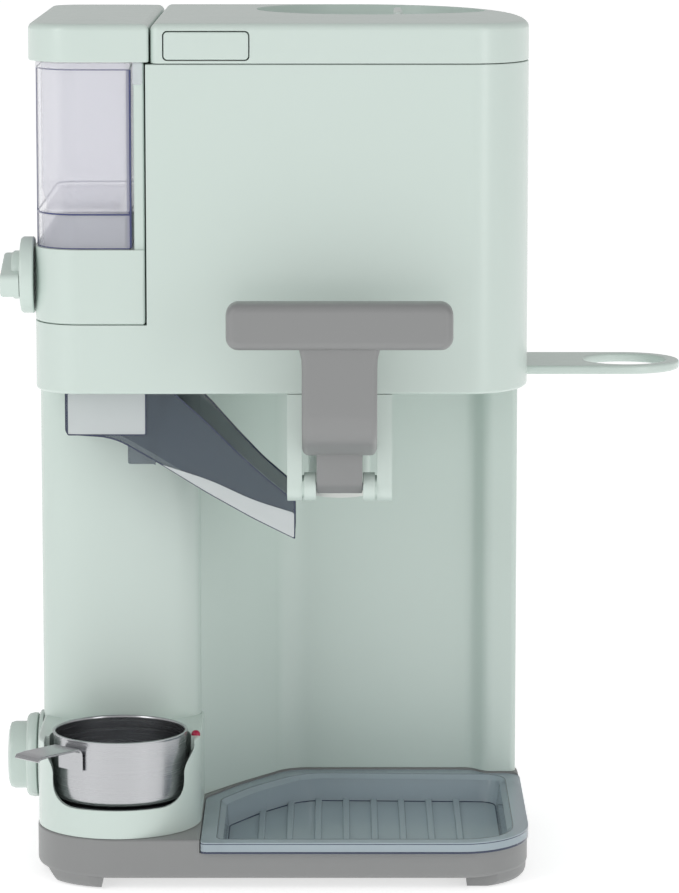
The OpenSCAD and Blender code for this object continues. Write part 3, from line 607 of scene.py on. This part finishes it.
knob_profile = [(3, -147), (3, -151), (18.4, -151), (19, -151.6), (19, -156.4), (18.2, -157.6), (16, -158)]
knob_profile += [(12.4, -158.1), (12, -158.6), (12, -161), (11, -162.2), (9, -162.4), (0, -162.4)]
knob = lathe("dispenser_knob", ROTOR, knob_profile, SIDEWAYS)
BAR_TILT = np.radians(15)
bar_rings = []
for inset, reach in [(1.5, -167.4), (0.6, -167.1), (0, -166), (0, -158)]:
    plan = outline(pill(35, 11.8, 2.6), inset)
    spin = np.array([[np.cos(BAR_TILT), np.sin(BAR_TILT)], [-np.sin(BAR_TILT), np.cos(BAR_TILT)]])
    bar_rings.append(at(np.asarray(ROTOR) + plan @ spin, reach))
join(knob, loft("knob_bar", bar_rings, SIDEWAYS))
soften(knob, 0.5, angle=50)
done(knob, MINT, "dispenser", "mint_plastic", "hopper_knob")

# ---------------------------------------------------------------- column and cup bay

COLUMN_Z0, COLUMN_Z1 = 25.9, 245.4
CUP = (-110, 19.5)
column_plan = np.vstack(
    [
        arc(-111.5, 77, 40.5, 20, 180, 360, 2.4, 36),
        bend([(-71, 78, 0), (-52.5, 107, 8), (-33.9, 132, 0)]),
        arc(-16, 124, 20, 18, 150, 90, 2.0, 12),
        bend([(60, 142, 0), (69.5, 142, 4), (77, 133, 4), (86, 133, 0)]),
        arc(90, 136, 3, 3, 270, 345, 2.0, 5),
        arc(20, 136, 73, 64, 0, 90, 2.0, 24),
        arc(-140, 188, 12, 12, 90, 180, 2.0, 10),
    ]
)
column_inside = np.vstack(
    [
        arc(-111.5, 79, 37.5, 18, 180, 360, 2.4, 24),
        [[-56.5, 109.5]],
        arc(-16, 124, 23.4, 21.4, 150, 90, 2.0, 10),
        [[67, 145.4], [73.5, 143], [79, 137]],
        arc(20, 138, 70, 59, 0, 90, 2.0, 20),
        arc(-139.5, 187.5, 9.4, 9.4, 90, 180, 2.0, 8),
    ]
)
column = prism("column_tower", column_plan, COLUMN_Z0, COLUMN_Z1)
nose = (-110.5, 25, 40.8, 42.5, 180, 360, 2.0, 48)
collar_profile = rounded(COLUMN_Z0, 70, 0, 1.2, 5)
collar_rings = []
for inset, height in collar_profile:
    back = np.array([[-69.7 - inset, 80], [-151.3 + inset, 80]])
    collar_rings.append(at(np.vstack([outline([nose], inset), back]), height))
join(column, loft("collar", collar_rings))
cavity = prism("cavity", column_inside, 20, 242.4)
bay_round = lathe("bay_round", CUP, [(35.5, 38.4), (35.5, 120)], steps=96)
MOUTH_HALF, MOUTH_FLARE = 32.7, 37.5
mouth_right = [(MOUTH_HALF, 40, 12), (MOUTH_HALF, 58, 3), (MOUTH_FLARE, 66, 2), (MOUTH_FLARE, 100, 1)]
mouth = [(CUP[0] + x, z, r) for x, z, r in mouth_right]
mouth = [(CUP[0] - MOUTH_HALF, 40, 12), *mouth] + [(CUP[0] - x, z, r) for x, z, r in mouth_right[:0:-1]]
mouth_cut = prism("mouth", corners(mouth, 8), -60, CUP[1], FACING)
window = block("window", (-138, 190, 34), (14, 215, 236))
switch_way = lathe("switch_way", (80, 47), [(4, -160), (4, -140)], SIDEWAYS, 32)
cut(column, cavity, bay_round, mouth_cut, window, switch_way)
soften(column, 1.1, angle=50)
done(column, MINT, "machine_body", "mint_plastic", "column_shell")

cover_back = solid("rear_panel", pill(162, 218, 5, (-62, 135)), rounded(200.2, 202.4, 0, 1.0), FACING)
join(cover_back, solid("panel_step", pill(151.4, 201.4, 3, (-62, 135)), [(0, 197), (0, 200.6)], FACING))
through = [(0, 190), (0, 210)]
vents = [solid(f"vent_{i}", pill(100, 3, 1.4, (-62, 151.5 + 6 * i)), through, FACING) for i in range(11)]
gland_way = lathe("gland_way", (-120, 52), [(7, 190), (7, 210)], FACING, 40)
cut(cover_back, *vents, gland_way)
soften(cover_back, 0.35, angle=50, segments=2)
done(cover_back, PALE, "machine_body", "pale_plastic", "rear_cover")

LENS, LENS_R = (-72.2, 22.3), 2.3
dome_turn = np.radians(np.linspace(0, 90, 9))
dome = np.column_stack([LENS_R * np.cos(dome_turn), 70.1 + LENS_R * np.sin(dome_turn)])
lens = lathe("indicator_dome", LENS, [(0, 69.6), (LENS_R, 69.6), *dome], steps=40)
done(lens, RED, "machine_body", "red_lens", "indicator_lens")

POWER = (80, 47)
bezel_profile = [(4, -152.1), (23.2, -152.1), (23.2, -153.4), (22.2, -154.3), (4, -154.4)]
bezel = lathe("power_bezel", POWER, bezel_profile, SIDEWAYS, 96)
done(bezel, MINT, "machine_body", "mint_plastic", "knob_bezel")
skirt = [(3, -137), (3, -154.8), (20.6, -154.8), (21.6, -155.4), (21.75, -157), (21.2, -159.6), (20, -160.7)]
cap_side = [(17.3, -160.9), (17.3, -167), (16.6, -169.2), (14.6, -170), (6, -169.5), (0, -169.4)]
power = lathe("power_dial", POWER, skirt + cap_side, SIDEWAYS, 96)
pointer_side = corners([(92, 46, 0.5), (96.4, 46, 0.8), (96.4, 48, 0.8), (92, 48, 0.5)])
pointer = prism("pointer", pointer_side, -170, -166, SIDEWAYS)
join(power, pointer)
soften(power, 0.4, angle=50, segments=2)
done(power, MINT, "mode_knob", "mint_plastic", "power_knob")

# ---------------------------------------------------------------- base and drip tray

BASE_Z0, BASE_Z1 = 5.8, 25.7
base_plan = [
    (60, 22, 34.5, 40, 270, 360, 2.0, 18),
    (20, 136, 74.5, 65, 0, 90, 2.0, 24),
    (-139.8, 189, 12, 12, 90, 180, 2.0, 10),
    (-110.5, 25, 41.3, 43, 180, 270, 2.0, 24),
]
tray_plan = np.vstack(
    [
        arc(-65.8, -18, 3, 3, 180, 270, 2.0, 5),
        arc(60, 20, 35, 41, 270, 360, 2.0, 18),
        arc(87, 124.5, 8, 8, 0, 90, 2.0, 6),
        bend([(86, 132.4, 0), (76.9, 132.2, 4), (70, 140.6, 4), (60, 141.3, 0)]),
        arc(-16, 123.5, 19.5, 17.8, 90, 150, 2.0, 10),
        bend([(-33.4, 131.6, 0), (-52, 106, 6), (-68.8, 75, 4), (-68.8, 60, 0)]),
    ]
)
WELL = [(-60.2, -12.4, 4), (86.4, -12.4, 30), (86.4, 129, 13), (-19, 132.7, 14), (-44.8, 101.2, 12)]
WELL += [(-60.2, 73, 4)]
FLOOR = [(-56.6, -9, 3), (82, -9, 26), (82, 125, 10), (-19, 128.4, 12), (-41.6, 99.4, 10), (-56.6, 72, 3)]
well_top, well_floor = corners(WELL, 8), corners(FLOOR, 8)

base = solid("base_body", base_plan, rounded(BASE_Z0, BASE_Z1, 2.4, 1.2, 5))
foot_profile = [(3.4, 0.6), (2.2, 0.9), (1.2, 2), (0.7, 3.6), (0.5, 9)]
FEET = [(-129, 2), (76, 6), (-129, 178), (52, 176)]
FOOT_SPAN = [(-147, -118), (62.3, 98), (-147, -118), (38, 66)]
feet = []
for number, ((_, y), (x0, x1)) in enumerate(zip(FEET, FOOT_SPAN)):
    foot = solid(f"foot_{number}", base_plan, foot_profile)
    lean = 6 if number == 0 else 0
    sole = [(x0 + 1 + lean, 0, 1), (x1, 0, 1), (x1, 12, 1), (x0 - lean / 2, 12, 1)]
    combine(foot, [prism("sole", corners(sole), y - 17, y + 17, FACING)], "INTERSECT")
    feet.append(foot)
join(base, *feet)
ledge = prism("ledge", grow(tray_plan, 0.5), 19, 40)
sump = prism("sump", grow(well_top, 0.6), 8.6, 30)
foot_ways = [lathe(f"foot_way_{i}", spot, [(8.2, 0), (8.2, 4.2)], steps=40) for i, spot in enumerate(FEET)]
PLATE_AREA = [(-146, 22, 4), (-75, 22, 4), (-75, 84, 6), (-57, 114, 6), (-38, 148, 6), (34, 148, 4)]
PLATE_AREA += [(34, 196, 4), (-112, 196, 4), (-112, 159, 4), (-146, 159, 4)]
plate_plan = corners(PLATE_AREA)
recess = prism("recess", grow(plate_plan, 0.4), 0, 9.3)
cut(base, ledge, sump, recess, *foot_ways)
soften(base, 0.7, angle=50)
done(base, GREY, "machine_body", "grey_plastic", "base_shell")

service = prism("service_plate", plate_plan, 7.3, 9.2)
air = [solid(f"air_{i}", pill(3, 26, 1.4, (-20 + 8 * i, 172)), [(0, 0), (0, 20)]) for i in range(6)]
sunk_hole = [(3.3, 0), (3.3, 8.1), (1.7, 8.1), (1.7, 20)]
screw_ways = [lathe(f"screw_way_{y}", (-110, y), sunk_hole, steps=32) for y in (60, 145)]
cut(service, *air, *screw_ways)
soften(service, 0.3, angle=50, segments=2)
done(service, BLACK, "machine_body", "black_plastic", "bottom_plate")

tray = prism("tray_body", tray_plan, 19.2, 24.9)
join(tray, prism("tray_tub", grow(well_top, -0.4), 9, 21))
tub_floor = [at(well_floor, 11), at(grow(well_floor, 0.6), 11.5)]
tub_lip = [at(grow(well_top, -2.2), 22.5), at(well_top, 24.2), at(grow(well_top, 0.8), 26)]
tub = loft("tub", tub_floor + tub_lip)
cut(tray, tub)
rib_end = corners([(-2.0, 10.4, 0.1), (2.0, 10.4, 0.1), (1.7, 12.4, 0.8), (-1.7, 12.4, 0.8)], 3)
ribs = []
for i in range(8):
    along = prism(f"rib_{i}", rib_end + [-40 + 14.5 * i, 0], -20, 140, FACING)
    reach = prism("reach", grow(well_floor, 0.9), 10, 13)
    ribs.append(combine(along, [reach], "INTERSECT"))
join(tray, *ribs)
soften(tray, 0.55, angle=50)
# The tray's smoked finish is painted lighter: painted light from the floor's bounce.
done(tray, SMOKED, "tray", "smoked_plastic", "drip_tray")
# Dark strips along the tray's seam, rim, well and floor: painted shade.
for name, low, high in [("tray_seam", 19.25, 20.3), ("tray_rim_line", 23.9, 24.3)]:
    line = edging(name, grow(tray_plan, -0.02), low, high, 0.5)
    done(line, SMOKED_EDGE_SHADE, "tray", "smoked_plastic")
well_line = edging("tray_well_line", grow(well_top, 1.0), 24.5, 24.93, 0.55)
done(well_line, SMOKED_EDGE_SHADE, "tray", "smoked_plastic")
floor_line = edging("tray_floor_line", grow(well_floor, 0.2), 10.9, 11.35, 0.6)
done(floor_line, SMOKED_EDGE_SHADE, "tray", "smoked_plastic")

# ---------------------------------------------------------------- handle and spout

PIVOT = (6, 199)
BAR_Z = 284.75


def path_bar(name, path, half_width, half_depth, radius, steps=5):
    """A rounded rectangle carried along a path of (Y, Z) points and turned square to it.

    Its half width and half depth are given at each point.
    """
    path = np.asarray(path, float)
    tangent = np.gradient(path, axis=0)
    tangent /= np.linalg.norm(tangent, axis=1)[:, None]
    normal = np.column_stack([-tangent[:, 1], tangent[:, 0]])
    rings = []
    for spot, side, wide, deep in zip(path, normal, half_width, half_depth):
        shape = outline(pill(2 * wide, 2 * deep, min(radius, wide, deep) * 0.98, steps=steps))
        rings.append(np.column_stack([shape[:, 0], spot + shape[:, 1:] * side]))
    return loft(name, rings)


bar_front = [(4.4, -50), (2.4, -49.6), (0.8, -48.4), (0, -46)]
BAR_MIDDLE = -41.5
bar_profile = bar_front + [(inset, 2 * BAR_MIDDLE - y) for inset, y in bar_front[::-1]]
handle = solid("pull_lever", pill(109.2, 22.7, 6, (0, BAR_Z), 8), bar_profile, FACING)
stem_path = np.vstack(
    [
        np.column_stack([np.full(9, -41.0), np.linspace(282, 246, 9)]),
        arc(-27.6, 242, 13.4, 15, 180, 236, steps=8),
        [[-28, 225.8], [-20, 223.4], [-12, 221.6], [-3, 220.4]],
    ]
)
count = len(stem_path)
flare = np.where(stem_path[:, 1] > 266, (stem_path[:, 1] - 266) ** 2 / 40, 0)
wide = 18.2 + np.clip(flare, 0, 4)
deep = np.interp(np.arange(count), [0, 9, count - 1], [6.2, 6.0, 4.2])
stem = path_bar("stem", stem_path, wide, deep, 3.2)
nose_side = [(-10, 222, 2), (-8.5, 215, 3), (-1.2, 200.4, 2), (4, 195.6, 2)]
nose_side += [(11.6, 195.6, 3), (11.8, 203, 3), (1.6, 221.6, 2)]
lever_nose = prism("lever_nose", corners(nose_side), -11.3, 11.3, SIDEWAYS)
soften(lever_nose, 0.7)
join(handle, stem, lever_nose)
cut(handle, lathe("pin_way", PIVOT, [(2.1, -20), (2.1, 20)], SIDEWAYS, 32))
done(handle, GREY, "pull_handle", "grey_plastic", "handle", sharp=50)

cheek_side = np.vstack([[[1, 245.4], [1, 199]], arc(8, 198.5, 7, 7, 180, 360, steps=18), [[15, 245.4]]])
bracket = block("spout_cheeks", (-25.8, 1, 242.2), (25.8, 17, 245.4))
cheeks = [prism(f"cheek_{x}", cheek_side, x, x + 7.3, SIDEWAYS) for x in (-25.8, 18.5)]
boss_steps = [(0, 18.7), (5.6, 18.7), (5.6, 17.6), (7, 17.4), (7, 11.9), (6.7, 11.6), (0, 11.6)]
bosses = []
for side in (-1, 1):
    boss_side = [(radius, side * x) for radius, x in boss_steps]
    bosses.append(lathe(f"boss_{side}", PIVOT, boss_side, SIDEWAYS, 40))
join(bracket, *cheeks, *bosses)
soften(bracket, 1.3, angle=50)
done(bracket, MINT, "machine_body", "mint_plastic", "spout_bracket")

# ---------------------------------------------------------------- chute

CHUTE_Y0, CHUTE_Y1 = 16.5, 50.0
low_line = [(-136, 244.7, 0.5), (-136, 223.2, 3), (-112, 221.6, 8), (-90, 209, 6), (-66, 194, 6)]
low_line += [(-43, 181, 6), (-22, 170.6, 1)]
near_line = [(-22, 190, 1), (-38, 203, 6), (-52, 216, 6), (-66, 230, 6), (-82.5, 244.7, 0.5)]
far_line = [(-22, 193.6, 1), (-38, 207.5, 6), (-52, 222.3, 6), (-66, 238.1, 5), (-73.5, 244.7, 0.5)]
core = [(-134, 262, 0.5), (-134, 226, 4), (-111, 224.1, 8), (-89, 211.5, 6), (-65, 196.5, 6)]
core += [(-42, 183.5, 6), (-10, 166.8, 1), (-10, 262, 0.5)]
chute = prism("mix_in_chute", corners(low_line + near_line), CHUTE_Y0, CHUTE_Y1, FACING)
join(chute, prism("far_wall", corners(low_line + far_line), CHUTE_Y1 - 2, CHUTE_Y1, FACING))
cut(chute, prism("trough_core", corners(core), CHUTE_Y0 + 2, CHUTE_Y1 - 2, FACING))
rib_line = [(-85, 244, 0.3), (-94, 226, 12), (-93, 209, 0.3)]
rib_line += [(-91.2, 208, 0.3), (-92.2, 226, 12), (-83.4, 244, 0.3)]
join(chute, prism("curved_rib", corners(rib_line), CHUTE_Y0 - 0.8, CHUTE_Y0 + 1, FACING))
tab_plan = corners([(-105, 219, 0.5), (-105, 208.4, 1.4), (-91, 208.4, 1.4), (-91, 213.4, 0.5)][::-1])
join(chute, prism("catch_tab", tab_plan, CHUTE_Y0 + 0.6, CHUTE_Y0 + 2.4, FACING))
soften(chute, 0.5, angle=50, segments=2)
# The chute's finish is painted darker: painted shade from what lies behind it.
done(chute, SMOKED_PAINTED_SHADE, "chute_trough", "smoked_plastic", "chute")
# Dark strips along the chute's walls and collar: painted shade.
near_wall, far_wall = corners(low_line + near_line), corners(low_line + far_line)
chute_lines = [("chute_near_line", near_wall, CHUTE_Y0 - 0.05, CHUTE_Y0 + 0.4)]
chute_lines += [("chute_far_line", far_wall, CHUTE_Y1 - 2.1, CHUTE_Y1 - 1.7)]
for name, plan, low, high in chute_lines:
    line = edging(name, grow(plan, -0.05), low, high, 0.7, FACING)
    done(line, SMOKED_EDGE_SHADE, "chute_trough", "smoked_plastic")
# A thin pale sheet on the chute's collar and a pale band along its lip: painted highlight.
collar_face = pill(39.4, 21.4, 1.2, (-115.4, 233.6))
collar_highlight_sheet = solid("chute_collar", collar_face, [(0.3, 15.9), (0, 16.1), (0, 16.45)], FACING)
done(collar_highlight_sheet, CHUTE_HIGHLIGHT, "chute_trough", "smoked_plastic")
collar_line = edging("chute_collar_line", outline(collar_face), 15.85, 16.4, 0.6, FACING)
done(collar_line, SMOKED_EDGE_SHADE, "chute_trough", "smoked_plastic")
lip = [(-88, 208.2, 1), (-66, 194.6, 6), (-43, 181.6, 6), (-22.6, 171.4, 1)]
lip += [(-22.6, 184, 1), (-43, 190.4, 8), (-64, 200.4, 8)]
lip_highlight = prism("chute_lip_highlight", corners(lip), 16.0, 16.44, FACING)
done(lip_highlight, CHUTE_HIGHLIGHT, "chute_trough", "smoked_plastic")

# ---------------------------------------------------------------- mixing cup

CUP_R = 33.5
CUP_Z0, CUP_WALL, CUP_FILLET = 40.2, 1.2, 3.4
quarter = np.radians(np.linspace(0, 90, 9))
curve_r, curve_z = CUP_R - CUP_FILLET, CUP_Z0 + CUP_FILLET
inner_fillet = CUP_FILLET - CUP_WALL
low_curve = np.column_stack([curve_r + CUP_FILLET * np.sin(quarter), curve_z - CUP_FILLET * np.cos(quarter)])
rim_shape = [(0, 72.2), (0.35, 72.7), (0.3, 73.4), (-0.5, 73.7), (-1.1, 73.3), (-1.1, 72.4)]
rim = [(CUP_R + step, height) for step, height in rim_shape]
inner_r, inner_z = curve_r + inner_fillet * np.sin(quarter), curve_z - inner_fillet * np.cos(quarter)
inner_curve = np.column_stack([inner_r, inner_z])[::-1]
cup_profile = [(0, 40.5), (20, 40.5), (22, CUP_Z0), *low_curve, *rim, *inner_curve, (0, CUP_Z0 + CUP_WALL)]
cup = lathe("steel_cup", CUP, cup_profile, steps=128)
done(cup, CUP_STEEL, "cup", "cup_steel", "mix_cup", sharp=60)

STRAP_TURN = np.radians(227)
out = np.array([np.cos(STRAP_TURN), np.sin(STRAP_TURN)])
side = np.array([-np.sin(STRAP_TURN), np.cos(STRAP_TURN)])
strap_path = [(34.3, 58.6), (34.3, 65), (34.5, 67.6), (35.6, 69.4), (37.6, 69.9)]
strap_path += [(46, 69.9), (58, 69.9), (63, 69.4), (63.8, 68.1)]
strap_path = np.array(strap_path)
strap_rings = []
tangent = np.gradient(strap_path, axis=0)
tangent /= np.linalg.norm(tangent, axis=1)[:, None]
for (reach, height), (t_out, t_up) in zip(strap_path, tangent):
    section = outline(pill(17, 1.3, 0.6, steps=4))
    across = np.array(CUP) + out * reach + section[:, :1] * side + section[:, 1:] * (-t_up) * out
    strap_rings.append(np.column_stack([across, height + section[:, 1] * t_out]))
strap = loft("cup_strap", strap_rings)
done(strap, CUP_STEEL, "cup", "cup_steel", "cup_handle", sharp=50)

# ---------------------------------------------------------------- cone ring

RING = (146, 95)
ring_points = np.vstack([arc(*RING, 28, 28, -90, 90, steps=40), [[70, 123], [70, 67]]])
cone = prism("cone_holder", ring_points, 246.6, 251)
cut(cone, solid("head_clearance", head_plan, [(-0.4, 240), (-0.4, 260)]))
cut(cone, lathe("cone_hole", RING, [(20.75, 240), (20.75, 260)], steps=96))
soften(cone, 1.3, angle=50)
join(cone, block("ring_tongue", (58, 70, 247.7), (96, 118, 250.7)))
done(cone, MINT, "cone_rest", "mint_plastic", "cone_ring")

# ---------------------------------------------------------------- parts kept as they are in the frame

KEPT = {
    RUBBER: ["rubber_feet"],
    SCREW_STEEL: ["bottom_screws", "rear_screws", "idler_axle", "handle_pin", "lid_hinge_pin", "drive_shaft"],
    BLACK: ["cord_gland", "rotary_switch"],
    PLATE: ["warming_plate"],
    MICA: ["heater_ring"],
    BOARD: ["control_board"],
    PALE: ["drop_duct", "spout_gate"],
    WHITE: [
        "bowl_well", "outlet_tube", "gearbox_case", "gearbox_cover", "spout_nozzle", "lid_liner", "paddle",
    ],
    BOWL: ["freezer_bowl_shell", "bowl_liner"],
    GEL: ["coolant_gel"],
    SEAL: ["bowl_gasket", "lid_seal"],
    BRONZE: ["output_bush", "lower_bush"],
    MOTOR_STEEL: ["motor_can", "motor_bracket"],
    MINT: ["spout_body"],
    ACETAL: ["output_gear", "idler_gear", "motor_pinion"],
    CLEAR: ["dispenser_rotor"],
}
for material, names in KEPT.items():
    for name in names:
        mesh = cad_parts[name].data
        mesh.materials.clear()
        mesh.materials.append(material)

# ---------------------------------------------------------------- floor, light and finish

FLOOR_HALF = 40000.0
floor_corners = FLOOR_HALF * np.array([[-1, -1], [1, -1], [1, 1], [-1, 1]])
floor = prism("floor", floor_corners, -20, 0)
FLOOR_GLOW = {"Emission Color": (1, 1, 1, 1), "Emission Strength": 0.54}
# Studio board, sprayed matt white: a broad faint mottle under an even sheen, lit a little from behind.
STUDIO = finish("studio_board", "#f6f6f6", "#f5f5f5", (0.7, 0.76), 3.0, 0.0005, cloud=600.0, **FLOOR_GLOW)
floor.data.materials.append(STUDIO)
floor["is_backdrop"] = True

world = bpy.data.worlds.new("studio")
world.use_nodes = True
scene.world = world
tree = world.node_tree
tree.nodes.clear()
look = add(tree, "ShaderNodeTexCoord", {})
height = add(tree, "ShaderNodeSeparateXYZ", {"Vector": look.outputs["Generated"]})
HORIZON, OVERHEAD = 0.6, 0.5
reach = {"Value": height.outputs["Z"], "From Max": 1.0, "To Min": HORIZON, "To Max": OVERHEAD}
fall = add(tree, "ShaderNodeMapRange", reach)
glow = add(tree, "ShaderNodeBackground", {"Color": (1, 1, 1, 1), "Strength": fall.outputs["Result"]})
add(tree, "ShaderNodeOutputWorld", {"Surface": glow.outputs["Background"]})


def softbox(name, centre, aim, size, power):
    """A rectangular area light at a machine point, turned to face another."""
    lamp = bpy.data.lights.new(name, "AREA")
    lamp.shape = "RECTANGLE"
    lamp.size, lamp.size_y = size
    lamp.energy = power
    made = bpy.data.objects.new(name, lamp)
    scene.collection.objects.link(made)
    start, end = to_frame(centre), to_frame(aim)
    made.location = start
    made.rotation_euler = Vector(end - start).to_track_quat("-Z", "Y").to_euler()
    return made


softbox("key_left", (-1500, -1300, 1100), (-20, 60, 230), (0.7, 1.5), 9)
softbox("fill_right", (1300, -1500, 700), (0, 60, 200), (0.6, 1.4), 5)
scene.view_settings.view_transform = "Standard"

low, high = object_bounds()
